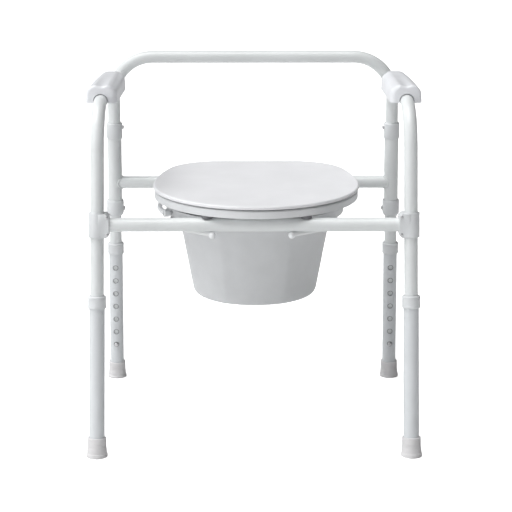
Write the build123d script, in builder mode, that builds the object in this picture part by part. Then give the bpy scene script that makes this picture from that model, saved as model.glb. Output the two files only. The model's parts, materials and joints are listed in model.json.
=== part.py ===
from build123d import *
from math import cos, radians, sin, sqrt, tan
import os

# A four-legged bedside commode chair: two side frames of bent tube, a front bar, a rear H-frame,
# a lift-out back bar, a hinged seat and lid, a pail on two rods, and four telescoping legs.
# Millimetres. +Z is up, +X is the sitter's left, the front faces -Y, and the floor is Z = 0.

# ---------------------------------------------------------------- driving dimensions
# Stance: each corner's leg and post lie on one straight axis that leans out towards the floor.
BAR_Z = 383.0  # height of the front bar and the rear crossbar
HALF_WIDTH = 253.5  # leg axis from the middle plane, at BAR_Z
HALF_DEPTH = 183.0  # leg axis from the chair's middle, front or back, at BAR_Z
SPLAY = radians(0.9)  # sideways lean
FLARE = radians(4.9)  # lean towards the front or the back

# Stock
TUBE_R = 11.1  # 7/8 inch frame tube
TUBE_WALL = 1.5
LEG_R = 12.7  # 1 inch leg and sleeve tube
LEG_BORE_R = 11.45
ROD_R = 4.0

# Side frames
ARM_Z = 572.0
FRONT_BEND_R = 70.0
REAR_BEND_R = 60.0
POST_END_Z = 398.0  # where the rear post ends inside its sleeve
INNER_END_Z = 45.0  # where the inner tubes end inside the leg extensions

# Leg extensions
LEG_END_Z = 7.0
LEG_TOP_Z = 260.0
HOLE_PITCH = 25.4
HOLE_COUNT = 7
BUTTON_Z = 69.0
HOLE_R = 4.2
COLLAR_R = 15.0
COLLAR_BOTTOM_Z = 247.0
COLLAR_TOP_Z = 267.5
SLIDING_GAP = 0.3
FOOT_TOP_Z = 32.0
FOOT_TOP_R = 15.4
FOOT_BASE_R = 17.5

# Rear H-frame
SLEEVE_BOTTOM_Z = 322.5
SLEEVE_TOP_Z = 493.5
TOP_COLLAR_R = 14.2
LOWER_COLLAR_R = 15.5
TOP_COLLAR_BOTTOM_Z = 466.0
LOWER_COLLAR_TOP_Z = 350.0
COLLAR_LIP = 1.5
TOP_BUTTON_Z = 486.5
LOWER_BUTTON_Z = 334.0
LOWER_TUBE_TOP_Z = 365.0

# Back bar
BACK_X = 255.0
BACK_Y = 208.0
BACK_Z = 610.0
BACK_BEND_R = 72.0
RECEIVER_BOTTOM_Z = 396.0
RECEIVER_TOP_Z = 480.0
RECEIVER_FLOOR = 3.0
RECEIVER_BORE_R = 11.18
PLATE_BOTTOM_Z = 402.0
PLATE_TOP_Z = 462.0
PLATE_THICKNESS = 4.0

# Front bar and its connectors
BAR_END_X = 242.0
CONNECTOR_R = 14.0
CONNECTOR_END_X = 233.5
CONNECTOR_HALF_HEIGHT = 20.0
CONNECTOR_HALF_DEPTH = 13.5
CONNECTOR_CHAMFER = 5.0
RIVET_R = 1.8
RIVET_HEAD_R = 3.0
RIVET_HEAD_HEIGHT = 1.2
RIVET_X = 237.0
RIVET_OFFSET_Z = 14.3

# Snap buttons, measured outwards from the axis of the tube that holds them
BUTTON_R = 3.9
BUTTON_PROUD = 3.0
BUTTON_DOME = 2.0
BUTTON_FLANGE_R = 5.0
BUTTON_FLANGE_FROM = 6.8
BUTTON_FLANGE_TO = 8.0
SPRING_THICKNESS = 0.8
SPRING_HALF_WIDTH = 2.6
SPRING_LENGTH = 34.0

# Armrests
ARMREST_X = 249.0
ARMREST_FRONT_Y = -106.0
ARMREST_REAR_Y = 88.0
ARMREST_HALF_WIDTH = 26.0
ARMREST_TOP_HALF_WIDTH = 13.0
ARMREST_SHOULDER_Z = 583.0
ARMREST_TOP_Z = 599.0
ARMREST_FRONT_BOTTOM_Z = 569.5
ARMREST_REAR_BOTTOM_Z = 567.0
ARMREST_EDGE_R = 5.0
ARMREST_NOSE_R = 6.0
ARMREST_CORNER_R = 8.0
SCREW_YS = (-55.0, 50.0)
SCREW_R = 2.2
SCREW_HEAD_R = 4.4
SCREW_HEAD_HEIGHT = 2.4
SCREW_TOP_Z = 592.0

# Seat and lid, drawn from above and level. Then they are moved sideways and tipped to their place.
SEAT_X = 4.3  # the hinge clips may sit anywhere along the crossbar
SEAT_TILT = 1.3  # degrees, with the hinge higher than the front
LID_HALF_WIDTH = 174.5
LID_FRONT_Y = -214.0
WIDEST_Y = -32.0
SIDE_ARC_R = 404.0
SIDE_ARC_DEG = 18.3
CORNER_ARC_R = 93.4
LID_BOTTOM_Z = 414.0
LID_TOP_Z = 419.5
LID_SKIN = 3.0
LID_EDGE_R = 2.8
RING_BOTTOM_Z = 399.0
RING_TOP_Z = 412.0
RING_INSET = 1.5
RING_REAR_Y = 140.0
RING_EDGE_R = 3.0
HOLE_CENTRE_Y = -25.0
HOLE_HALF_WIDTH = 104.0
HOLE_HALF_LENGTH = 132.0
SEAT_PAD_X = 80.0
SEAT_PAD_R = 9.0
SEAT_PAD_GAP = 0.02
LID_PADS = ((138.0, -70.0), (124.0, 60.0))
LID_PAD_R = 6.0

# Seat hinge
HINGE_Y = 149.0
HINGE_Z = 408.0
KNUCKLE_R = 6.0
PIN_R = 3.5
PIN_GAP = 0.06
LID_KNUCKLE = (49.5, 60.5)
BRACKET_KNUCKLE = (62.0, 74.0)
SEAT_KNUCKLE = (75.5, 86.5)
PIN_FROM_X = 47.5
PIN_TO_X = 88.5
CLIP_R = 15.5
WEB_FRONT_Y = 144.0
WEB_REAR_Y = 152.0
WEB_FOOT_TOP_Z = 388.0
WEB_FOOT_BOTTOM_Z = 378.0

# Pail and its carrying rods
PAIL_X = 2.0
PAIL_Y = -15.0
PAIL_BOTTOM_Z = 228.5
PAIL_BASE_R = 105.0
PAIL_TOP_R = 131.5
PAIL_WALL = 2.5
PAIL_REST_GAP = 0.2
PAIL_FLANGE_R = 152.0
PAIL_RIM_HEIGHT = 14.5
PAIL_TURN = 22.5  # degrees that the pail is turned in its holder
PIVOT_HEIGHT = 8.0
PIVOT_R = 3.0
PIVOT_GAP = 0.08
PIVOT_FROM_R = 151.0
PIVOT_TO_R = 167.5
BAIL_R = 163.0
BAIL_HALF_WIDTH = 5.0
BAIL_HALF_HEIGHT = 4.5
BAIL_EYE_R = 6.6
BAIL_EYE_FROM_R = 156.0
BAIL_EYE_TO_R = 166.0
ROD_X = 138.0
ROD_CORNER_Y = -128.0
ROD_TIP_X = {"left": 68.0, "right": 61.0}
ROD_TIP_Y = -188.0
ROD_BEND_R = 28.0
TIP_R = 5.6
TIP_DROP = 1.4
TIP_OVER_ROD = 2.0  # how far the tip's flat face is from its centre

# ---------------------------------------------------------------- derived sizes
LEFT_AND_RIGHT = {"left": -1, "right": 1}
FRONT_AND_REAR = {"front": -1, "rear": 1}
ROD_Z = BAR_Z - TUBE_R - ROD_R  # the rods are welded under both bars
PAIL_FLANGE_Z = ROD_Z + ROD_R + PAIL_REST_GAP
PIVOT_Z = PAIL_FLANGE_Z + PIVOT_HEIGHT
TUBE_BORE_R = TUBE_R - TUBE_WALL


# ---------------------------------------------------------------- axes and planes
def axis_point(side, end, z):
    """The point at height z on the leg axis of one corner."""
    drop = BAR_Z - z
    return Vector(side * (HALF_WIDTH + drop * tan(SPLAY)), end * (HALF_DEPTH + drop * tan(FLARE)), z)


def axis_plane(side, end, z, facing):
    """A plane across that axis. Its x points as nearly as it can along facing."""
    up = (axis_point(side, end, z + 1) - axis_point(side, end, z)).normalized()
    across = (facing - up * facing.dot(up)).normalized()
    return Plane(origin=axis_point(side, end, z), x_dir=across, z_dir=up)


def leg_plane(side, end, z):
    """Across a leg axis, with x towards the leg at the other end of the side frame."""
    return axis_plane(side, end, z, Vector(0, -end, 0))


def sleeve_plane(side, z):
    """Across a rear sleeve's axis, with x towards the middle of the chair."""
    return axis_plane(side, 1, z, Vector(-side, 0, 0))


def length_along(plane, rise):
    """How far along the plane's normal a rise in height is."""
    return rise / plane.z_dir.Z


def profile_plane(plane):
    """The plane of a profile to revolve about plane's normal: x is radius and y is height."""
    return Plane(origin=plane.origin, x_dir=plane.x_dir, z_dir=plane.x_dir.cross(plane.z_dir))


def radial_plane(plane):
    """A plane at the axis that faces along plane's x, for holes and buttons."""
    return Plane(origin=plane.origin, x_dir=plane.z_dir, z_dir=plane.x_dir)


def side_plane(side):
    """The plane of a side frame: x runs to the back and y up the leaning frame."""
    lean = Vector(cos(SPLAY), 0, side * sin(SPLAY))
    return Plane(origin=(side * HALF_WIDTH, 0, BAR_Z), x_dir=(0, 1, 0), z_dir=lean)


def side_point(end, z):
    """The leg axis of one end at height z, in the side frame's plane."""
    return (end * (HALF_DEPTH + (BAR_Z - z) * tan(FLARE)), (z - BAR_Z) / cos(SPLAY))


def rod_tip(side_name):
    """The end of a carrying rod, in the middle of its ball."""
    return Vector(LEFT_AND_RIGHT[side_name] * ROD_TIP_X[side_name], ROD_TIP_Y, ROD_Z)


def rod_direction(side_name):
    """From the end of a carrying rod back along it."""
    corner = Vector(LEFT_AND_RIGHT[side_name] * ROD_X, ROD_CORNER_Y, ROD_Z)
    return (corner - rod_tip(side_name)).normalized()


def seated(part):
    """A part of the seat, drawn level, moved to its place on the two bars."""
    bar_top = Axis((0, -HALF_DEPTH, BAR_Z + TUBE_R), (1, 0, 0))
    return part.moved(Location((SEAT_X, 0, 0))).rotate(bar_top, SEAT_TILT)


def save(part, name):
    """Label a finished piece and write its STEP file."""
    part.label = name
    export_step(part, f"parts/{name}.step")


# ---------------------------------------------------------------- frame tubes
for side_name, side in LEFT_AND_RIGHT.items():
    # Front upright, armrest tube and rear post, bent from one length
    with BuildLine(side_plane(side)) as side_path:
        FilletPolyline(
            side_point(-1, INNER_END_Z),
            side_point(-1, ARM_Z),
            side_point(1, ARM_Z),
            side_point(1, POST_END_Z),
            radius=[FRONT_BEND_R, REAR_BEND_R],
        )
    with BuildPart() as side_tube:
        with BuildSketch(Plane(origin=side_path.line @ 0, z_dir=side_path.line % 0)):
            Circle(TUBE_R)
            Circle(TUBE_BORE_R, mode=Mode.SUBTRACT)
        sweep(path=side_path.line)
        for plane in (leg_plane(side, -1, BUTTON_Z), sleeve_plane(side, TOP_BUTTON_Z)):
            with BuildSketch(radial_plane(plane)):
                Circle(HOLE_R)
            extrude(amount=TUBE_R + 1, mode=Mode.SUBTRACT)
        with BuildSketch(Plane.XY.offset(ARM_Z - TUBE_R - 1)):
            with Locations(*[(axis_point(side, 1, ARM_Z).X, y) for y in SCREW_YS]):
                Circle(SCREW_R)
        extrude(amount=2 * TUBE_R + 2, mode=Mode.SUBTRACT)
    save(side_tube.part, f"side_tube_{side_name}")

    # Lower rear tube, from inside the sleeve to inside the leg extension
    with BuildPart() as lower_tube:
        start = leg_plane(side, 1, INNER_END_Z)
        with BuildSketch(start):
            Circle(TUBE_R)
            Circle(TUBE_BORE_R, mode=Mode.SUBTRACT)
        extrude(amount=length_along(start, LOWER_TUBE_TOP_Z - INNER_END_Z))
        for plane in (leg_plane(side, 1, BUTTON_Z), sleeve_plane(side, LOWER_BUTTON_Z)):
            with BuildSketch(radial_plane(plane)):
                Circle(HOLE_R)
            extrude(amount=TUBE_R + 1, mode=Mode.SUBTRACT)
    save(lower_tube.part, f"rear_lower_tube_{side_name}")

    # Rear sleeve, the upright of the H-frame
    with BuildPart() as sleeve:
        start = sleeve_plane(side, SLEEVE_BOTTOM_Z)
        with BuildSketch(start):
            Circle(LEG_R)
            Circle(LEG_BORE_R, mode=Mode.SUBTRACT)
        extrude(amount=length_along(start, SLEEVE_TOP_Z - SLEEVE_BOTTOM_Z))
        for z in (TOP_BUTTON_Z, LOWER_BUTTON_Z):
            with BuildSketch(radial_plane(sleeve_plane(side, z))):
                Circle(HOLE_R)
            extrude(amount=LEG_R + 1, mode=Mode.SUBTRACT)
    save(sleeve.part, f"rear_sleeve_{side_name}")

    # Plastic collars at the sleeve's two mouths, each with a lip over the end of the sleeve
    with BuildPart() as top_collar:
        start = sleeve_plane(side, TOP_COLLAR_BOTTOM_Z)
        wall_top = length_along(start, SLEEVE_TOP_Z - TOP_COLLAR_BOTTOM_Z)
        with BuildSketch(profile_plane(start)):
            with BuildLine():
                Polyline(
                    (LEG_R, 0),
                    (TOP_COLLAR_R - 0.6, 0),
                    (TOP_COLLAR_R, 2),
                    (TOP_COLLAR_R, wall_top),
                    (TOP_COLLAR_R - COLLAR_LIP, wall_top + COLLAR_LIP),
                    (TUBE_R, wall_top + COLLAR_LIP),
                    (TUBE_R, wall_top),
                    (LEG_R, wall_top),
                    close=True,
                )
            make_face()
        revolve(axis=Axis(start.origin, start.z_dir))
        with BuildSketch(radial_plane(sleeve_plane(side, TOP_BUTTON_Z))):
            Circle(HOLE_R)
        extrude(amount=TOP_COLLAR_R + 2, mode=Mode.SUBTRACT)
    save(top_collar.part, f"sleeve_top_collar_{side_name}")

    with BuildPart() as lower_collar:
        start = sleeve_plane(side, SLEEVE_BOTTOM_Z)
        wall_top = length_along(start, LOWER_COLLAR_TOP_Z - SLEEVE_BOTTOM_Z)
        with BuildSketch(profile_plane(start)):
            with BuildLine():
                Polyline(
                    (LEG_R, 0),
                    (TUBE_R, 0),
                    (TUBE_R, -COLLAR_LIP),
                    (LEG_R, -COLLAR_LIP),
                    (LOWER_COLLAR_R - 1.0, 1),
                    (LOWER_COLLAR_R, 4),
                    (LOWER_COLLAR_R, wall_top - 2),
                    (LOWER_COLLAR_R - 1.0, wall_top),
                    (LEG_R, wall_top),
                    close=True,
                )
            make_face()
        revolve(axis=Axis(start.origin, start.z_dir))
        with BuildSketch(radial_plane(sleeve_plane(side, LOWER_BUTTON_Z))):
            Circle(HOLE_R)
        extrude(amount=LOWER_COLLAR_R + 2, mode=Mode.SUBTRACT)
    save(lower_collar.part, f"sleeve_lower_collar_{side_name}")

    # Receiver for one leg of the back bar: a blind tube that stands behind the sleeve
    with BuildPart() as receiver:
        with BuildSketch(Plane.XY.offset(RECEIVER_BOTTOM_Z)):
            with Locations((side * BACK_X, BACK_Y)):
                Circle(LEG_R)
        extrude(amount=RECEIVER_TOP_Z - RECEIVER_BOTTOM_Z)
        with BuildSketch(Plane.XY.offset(RECEIVER_BOTTOM_Z + RECEIVER_FLOOR)):
            with Locations((side * BACK_X, BACK_Y)):
                Circle(RECEIVER_BORE_R)
        extrude(amount=RECEIVER_TOP_Z - RECEIVER_BOTTOM_Z, mode=Mode.SUBTRACT)
    save(receiver.part, f"back_bar_receiver_{side_name}")

    # Plastic T-connector that clamps the front bar to the upright
    with BuildPart() as connector:
        start = leg_plane(side, -1, BAR_Z - CONNECTOR_HALF_HEIGHT)
        height = length_along(start, 2 * CONNECTOR_HALF_HEIGHT)
        with BuildSketch(start):
            Circle(CONNECTOR_R)
        extrude(amount=height)
        with BuildSketch(Plane.YZ.offset(side * CONNECTOR_END_X)):
            with Locations((-HALF_DEPTH, BAR_Z)):
                Rectangle(2 * CONNECTOR_HALF_DEPTH, 2 * CONNECTOR_HALF_HEIGHT - 1)
        extrude(amount=side * (HALF_WIDTH - CONNECTOR_END_X - 3))
        end_face = connector.faces().filter_by(Axis.X).sort_by(Axis.X)[0 if side > 0 else -1]
        chamfer(end_face.edges().filter_by(Axis.Y), length=CONNECTOR_CHAMFER)
        bore_start = leg_plane(side, -1, BAR_Z - CONNECTOR_HALF_HEIGHT - 10)
        with BuildSketch(bore_start):
            Circle(TUBE_R)
        extrude(amount=height + 20, mode=Mode.SUBTRACT)
        with BuildSketch(Plane.YZ.offset(side * BAR_END_X)):
            with Locations((-HALF_DEPTH, BAR_Z)):
                Circle(TUBE_R)
        extrude(amount=-side * (BAR_END_X - CONNECTOR_END_X + 5), mode=Mode.SUBTRACT)
        with BuildSketch(Plane.XZ.offset(HALF_DEPTH + CONNECTOR_HALF_DEPTH)):
            with Locations(*[(side * RIVET_X, BAR_Z + s * RIVET_OFFSET_Z) for s in (-1, 1)]):
                Circle(RIVET_R)
        extrude(amount=-2 * CONNECTOR_HALF_DEPTH, mode=Mode.SUBTRACT)
    save(connector.part, f"front_connector_{side_name}")

    # Carrying rod for the pail, bent in under the front bar
    end = rod_tip(side_name) + rod_direction(side_name) * TIP_OVER_ROD
    with BuildLine(Plane.XY.offset(ROD_Z)) as rod_path:
        FilletPolyline(
            (side * ROD_X, HALF_DEPTH + ROD_R),
            (side * ROD_X, ROD_CORNER_Y),
            (end.X, end.Y),
            radius=ROD_BEND_R,
        )
    with BuildPart() as rod:
        with BuildSketch(Plane(origin=rod_path.line @ 0, z_dir=rod_path.line % 0)):
            Circle(ROD_R)
        sweep(path=rod_path.line)
    save(rod.part, f"pail_rod_{side_name}")

with BuildPart() as rivets:
    for side in LEFT_AND_RIGHT.values():
        spots = [(side * RIVET_X, BAR_Z + s * RIVET_OFFSET_Z) for s in (-1, 1)]
        with BuildSketch(Plane.XZ.offset(HALF_DEPTH + CONNECTOR_HALF_DEPTH)):
            with Locations(*spots):
                Circle(RIVET_HEAD_R)
        extrude(amount=RIVET_HEAD_HEIGHT)
        with BuildSketch(Plane.XZ.offset(HALF_DEPTH + CONNECTOR_HALF_DEPTH)):
            with Locations(*spots):
                Circle(RIVET_R)
        extrude(amount=-2 * CONNECTOR_HALF_DEPTH)
save(rivets.part, "connector_rivets")

with BuildPart() as front_bar:
    with BuildSketch(Plane.YZ.offset(-BAR_END_X)):
        with Locations((-HALF_DEPTH, BAR_Z)):
            Circle(TUBE_R)
            Circle(TUBE_BORE_R, mode=Mode.SUBTRACT)
    extrude(amount=2 * BAR_END_X)
save(front_bar.part, "front_bar")

# The crossbar's ends are coped to the sleeves that they are welded to
with BuildPart() as crossbar:
    with BuildSketch(Plane.YZ.offset(-HALF_WIDTH)):
        with Locations((HALF_DEPTH, BAR_Z)):
            Circle(TUBE_R)
            Circle(TUBE_BORE_R, mode=Mode.SUBTRACT)
    extrude(amount=2 * HALF_WIDTH)
    for side in LEFT_AND_RIGHT.values():
        with BuildSketch(sleeve_plane(side, BAR_Z - 30)):
            Circle(LEG_R)
        extrude(amount=60, mode=Mode.SUBTRACT)
save(crossbar.part, "rear_crossbar")

with BuildPart() as plates:
    for side in LEFT_AND_RIGHT.values():
        with BuildSketch(Plane.XY.offset(PLATE_BOTTOM_Z)):
            with Locations((side * BACK_X, (HALF_DEPTH + BACK_Y) / 2)):
                Rectangle(PLATE_THICKNESS, BACK_Y - HALF_DEPTH)
        extrude(amount=PLATE_TOP_Z - PLATE_BOTTOM_Z)
        with BuildSketch(Plane.XY.offset(PLATE_BOTTOM_Z - 5)):
            with Locations((side * BACK_X, BACK_Y)):
                Circle(LEG_R)
        extrude(amount=PLATE_TOP_Z - PLATE_BOTTOM_Z + 10, mode=Mode.SUBTRACT)
        with BuildSketch(sleeve_plane(side, PLATE_BOTTOM_Z - 10)):
            Circle(LEG_R)
        extrude(amount=PLATE_TOP_Z - PLATE_BOTTOM_Z + 20, mode=Mode.SUBTRACT)
save(plates.part, "receiver_plates")

# A ball on the end of each rod, flat where the rod meets it
with BuildPart() as rod_tips:
    for side_name in LEFT_AND_RIGHT:
        with BuildPart() as ball:
            with Locations(rod_tip(side_name) - Vector(0, 0, TIP_DROP)):
                Sphere(TIP_R)
            end = rod_tip(side_name) + rod_direction(side_name) * TIP_OVER_ROD
            split(bisect_by=Plane(origin=end, z_dir=rod_direction(side_name)), keep=Keep.BOTTOM)
        add(ball.part)
save(rod_tips.part, "pail_rod_tips")

# ---------------------------------------------------------------- back bar
with BuildLine(Plane.XZ.offset(-BACK_Y)) as back_path:
    FilletPolyline(
        (-BACK_X, RECEIVER_BOTTOM_Z + RECEIVER_FLOOR),
        (-BACK_X, BACK_Z),
        (BACK_X, BACK_Z),
        (BACK_X, RECEIVER_BOTTOM_Z + RECEIVER_FLOOR),
        radius=BACK_BEND_R,
    )
with BuildPart() as back_bar:
    with BuildSketch(Plane(origin=back_path.line @ 0, z_dir=back_path.line % 0)):
        Circle(TUBE_R)
        Circle(TUBE_BORE_R, mode=Mode.SUBTRACT)
    sweep(path=back_path.line)
save(back_bar.part, "back_bar")

# ---------------------------------------------------------------- leg extensions
for end_name, end in FRONT_AND_REAR.items():
    for side_name, side in LEFT_AND_RIGHT.items():
        corner = f"{end_name}_{side_name}"

        with BuildPart() as leg:
            start = leg_plane(side, end, LEG_END_Z)
            with BuildSketch(start):
                Circle(LEG_R)
                Circle(LEG_BORE_R, mode=Mode.SUBTRACT)
            extrude(amount=length_along(start, LEG_TOP_Z - LEG_END_Z))
            lowest = leg_plane(side, end, BUTTON_Z)
            for step in range(HOLE_COUNT):
                with BuildSketch(radial_plane(lowest.offset(step * HOLE_PITCH))):
                    Circle(HOLE_R)
                extrude(amount=LEG_R + 1, mode=Mode.SUBTRACT)
        save(leg.part, f"leg_tube_{corner}")

        with BuildPart() as leg_collar:
            start = leg_plane(side, end, COLLAR_BOTTOM_Z)
            step_up = length_along(start, LEG_TOP_Z - COLLAR_BOTTOM_Z)
            top = length_along(start, COLLAR_TOP_Z - COLLAR_BOTTOM_Z)
            with BuildSketch(profile_plane(start)):
                with BuildLine():
                    Polyline(
                        (LEG_R, 0),
                        (COLLAR_R - 0.5, 0),
                        (COLLAR_R, 1.5),
                        (COLLAR_R, top - 2),
                        (COLLAR_R - 1.5, top),
                        (TUBE_R + SLIDING_GAP, top),
                        (TUBE_R + SLIDING_GAP, step_up),
                        (LEG_R, step_up),
                        close=True,
                    )
                make_face()
            revolve(axis=Axis(start.origin, start.z_dir))
        save(leg_collar.part, f"leg_collar_{corner}")

        # The rubber foot follows the leg's axis but stands flat on the floor
        with BuildPart() as foot:
            start = leg_plane(side, end, 0)
            socket = length_along(start, LEG_END_Z)
            top = length_along(start, FOOT_TOP_Z)
            with BuildSketch(profile_plane(start)):
                with BuildLine():
                    Polyline(
                        (0, -4),
                        (FOOT_BASE_R, -4),
                        (FOOT_BASE_R, 5),
                        (FOOT_TOP_R + 0.6, 13),
                        (FOOT_TOP_R, top - 3),
                        (FOOT_TOP_R - 1, top),
                        (LEG_R, top),
                        (LEG_R, socket),
                        (0, socket),
                        close=True,
                    )
                make_face()
            revolve(axis=Axis(start.origin, start.z_dir))
            split(bisect_by=Plane.XY, keep=Keep.TOP)
        save(foot.part, f"foot_{corner}")


# ---------------------------------------------------------------- snap buttons
def snap_button(plane, wall_r):
    """A domed button that stands proud of a wall of radius wall_r, with a flange behind it."""
    facing = radial_plane(plane)
    with BuildPart() as button:
        with BuildSketch(facing.offset(BUTTON_FLANGE_FROM)):
            Circle(BUTTON_R)
        extrude(amount=wall_r + BUTTON_PROUD - BUTTON_FLANGE_FROM)
        outermost = button.faces().sort_by(Axis(facing.origin, facing.z_dir))[-1]
        fillet(outermost.edges(), radius=BUTTON_DOME)
        with BuildSketch(facing.offset(BUTTON_FLANGE_FROM)):
            Circle(BUTTON_FLANGE_R)
        extrude(amount=BUTTON_FLANGE_TO - BUTTON_FLANGE_FROM)
    return button.part


button_places = {}
for side_name, side in LEFT_AND_RIGHT.items():
    button_places[f"front_{side_name}"] = (leg_plane(side, -1, BUTTON_Z), LEG_R)
    button_places[f"rear_{side_name}"] = (leg_plane(side, 1, BUTTON_Z), LEG_R)
    button_places[f"sleeve_top_{side_name}"] = (sleeve_plane(side, TOP_BUTTON_Z), TOP_COLLAR_R)
    button_places[f"sleeve_lower_{side_name}"] = (sleeve_plane(side, LOWER_BUTTON_Z), LOWER_COLLAR_R)

for place, (plane, wall_r) in button_places.items():
    save(snap_button(plane, wall_r), f"snap_button_{place}")

# V-springs of flat strip, each pressing its button out from the far wall of the tube
with BuildPart() as springs:
    for plane, wall_r in button_places.values():
        front = BUTTON_FLANGE_FROM - SPRING_THICKNESS / 2
        with BuildSketch(profile_plane(plane)):
            with BuildLine():
                Polyline(
                    (front, BUTTON_FLANGE_R),
                    (front, -BUTTON_FLANGE_R),
                    (-TUBE_BORE_R / 2, -SPRING_LENGTH / 2),
                    (-TUBE_BORE_R + 1.3, SPRING_LENGTH / 2),
                )
            trace(line_width=SPRING_THICKNESS)
        extrude(amount=SPRING_HALF_WIDTH, both=True)
save(springs.part, "button_springs")

# ---------------------------------------------------------------- armrests
for side_name, side in LEFT_AND_RIGHT.items():
    tube_x = axis_point(side, 1, ARM_Z).X
    length = ARMREST_REAR_Y - ARMREST_FRONT_Y
    with BuildPart() as armrest:
        with BuildSketch(Plane.XZ.offset(-ARMREST_REAR_Y)):
            with BuildLine():
                Polyline(
                    (side * ARMREST_X - ARMREST_HALF_WIDTH, ARMREST_REAR_BOTTOM_Z),
                    (side * ARMREST_X - ARMREST_HALF_WIDTH, ARMREST_SHOULDER_Z),
                    (side * ARMREST_X - ARMREST_TOP_HALF_WIDTH, ARMREST_TOP_Z),
                    (side * ARMREST_X + ARMREST_TOP_HALF_WIDTH, ARMREST_TOP_Z),
                    (side * ARMREST_X + ARMREST_HALF_WIDTH, ARMREST_SHOULDER_Z),
                    (side * ARMREST_X + ARMREST_HALF_WIDTH, ARMREST_REAR_BOTTOM_Z),
                    close=True,
                )
            make_face()
        extrude(amount=length)
        long_edges = armrest.edges().filter_by(Axis.Y).group_by(Axis.Z)
        fillet(long_edges[-1] + long_edges[-2], radius=ARMREST_EDGE_R)
        front_edges = armrest.faces().filter_by(Axis.Y).sort_by(Axis.Y)[0].edges()
        fillet(front_edges.group_by(Axis.Z)[-1], radius=ARMREST_NOSE_R)
        # Seen from above, the nose has round corners
        with BuildSketch(Plane.XY.offset(ARMREST_REAR_BOTTOM_Z)) as seen_from_above:
            with Locations((side * ARMREST_X, (ARMREST_FRONT_Y + ARMREST_REAR_Y) / 2)):
                Rectangle(2 * ARMREST_HALF_WIDTH, length)
            fillet(seen_from_above.vertices().group_by(Axis.Y)[0], radius=ARMREST_CORNER_R)
        extrude(amount=ARMREST_TOP_Z - ARMREST_REAR_BOTTOM_Z, mode=Mode.INTERSECT)
        # The underside rises towards the front
        with BuildSketch(Plane.YZ.offset(side * ARMREST_X)):
            with BuildLine():
                Polyline(
                    (ARMREST_FRONT_Y, ARMREST_REAR_BOTTOM_Z),
                    (ARMREST_FRONT_Y, ARMREST_FRONT_BOTTOM_Z),
                    (ARMREST_REAR_Y, ARMREST_REAR_BOTTOM_Z),
                    close=True,
                )
            make_face()
        extrude(amount=ARMREST_HALF_WIDTH + 1, both=True, mode=Mode.SUBTRACT)
        # A channel, open below, sits over the tube and follows it down at the nose
        with BuildSketch(Plane.XZ.offset(-ARMREST_REAR_Y)):
            with Locations((tube_x, ARM_Z)):
                Circle(TUBE_R)
            with Locations((tube_x, ARM_Z - TUBE_R)):
                Rectangle(2 * TUBE_R, 2 * TUBE_R)
        extrude(amount=length, mode=Mode.SUBTRACT)
        with BuildSketch(Plane.XY.offset(ARM_Z - TUBE_R)):
            with Locations(*[(tube_x, y) for y in SCREW_YS]):
                Circle(SCREW_R)
        extrude(amount=SCREW_TOP_Z - ARM_Z + TUBE_R, mode=Mode.SUBTRACT)
    save(armrest.part, f"armrest_{side_name}")

with BuildPart() as screws:
    for side in LEFT_AND_RIGHT.values():
        spots = [(axis_point(side, 1, ARM_Z).X, y) for y in SCREW_YS]
        with BuildSketch(Plane.XY.offset(ARM_Z - TUBE_R)):
            with Locations(*spots):
                Circle(SCREW_R)
        extrude(amount=SCREW_TOP_Z - ARM_Z + TUBE_R)
        with BuildSketch(Plane.XY.offset(ARM_Z - TUBE_R)):
            with Locations(*spots):
                Circle(SCREW_HEAD_R)
        extrude(amount=-SCREW_HEAD_HEIGHT)
save(screws.part, "armrest_screws")


# ---------------------------------------------------------------- seat and lid
def seat_outline(inset):
    """The lid's outline from above, drawn inset from its edge, as a face."""
    half_width = LID_HALF_WIDTH - inset
    with BuildSketch() as outline:
        with BuildLine():
            EllipticalCenterArc(
                (0, WIDEST_Y),
                half_width,
                WIDEST_Y - LID_FRONT_Y - inset,
                start_angle=270,
                arc_size=90,
            )
            flank = JernArc((half_width, WIDEST_Y), (0, 1), SIDE_ARC_R - inset, SIDE_ARC_DEG)
            corner = JernArc(flank @ 1, flank % 1, CORNER_ARC_R - inset, 90 - SIDE_ARC_DEG)
            Line(corner @ 1, (0, (corner @ 1).Y))
            mirror(about=Plane.YZ)
        make_face()
    return outline.sketch


def knuckle(from_x, to_x, bore_r, arm):
    """A hinge knuckle on each side of the chair between two distances from its middle.
    arm is the (y, z) corners of what joins the knuckle to its own piece."""
    with BuildPart() as knuckles:
        for side in LEFT_AND_RIGHT.values():
            with BuildSketch(Plane.YZ.offset(side * from_x)):
                with Locations((HINGE_Y, HINGE_Z)):
                    Circle(KNUCKLE_R)
                with BuildLine():
                    Polyline(*arm, close=True)
                make_face()
                with Locations((HINGE_Y, HINGE_Z)):
                    Circle(bore_r, mode=Mode.SUBTRACT)
            extrude(amount=side * (to_x - from_x))
    return knuckles.part


ring_arm = (
    (RING_REAR_Y - 4, RING_BOTTOM_Z + 3),
    (HINGE_Y, HINGE_Z - KNUCKLE_R),
    (HINGE_Y, HINGE_Z + KNUCKLE_R - 3),
    (RING_REAR_Y - 4, RING_TOP_Z),
)
with BuildPart() as seat_ring:
    with BuildSketch(Plane.XY.offset(RING_BOTTOM_Z)):
        add(seat_outline(RING_INSET))
        with Locations((0, HOLE_CENTRE_Y)):
            Ellipse(HOLE_HALF_WIDTH, HOLE_HALF_LENGTH, mode=Mode.SUBTRACT)
        with Locations((0, RING_REAR_Y + LID_HALF_WIDTH)):
            Rectangle(4 * LID_HALF_WIDTH, 2 * LID_HALF_WIDTH, mode=Mode.SUBTRACT)
    extrude(amount=RING_TOP_Z - RING_BOTTOM_Z)
    flat_faces = seat_ring.faces().filter_by(Axis.Z).sort_by(Axis.Z)
    fillet(flat_faces[-1].edges(), radius=RING_EDGE_R)
    add(knuckle(*SEAT_KNUCKLE, PIN_R + PIN_GAP, ring_arm))
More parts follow.
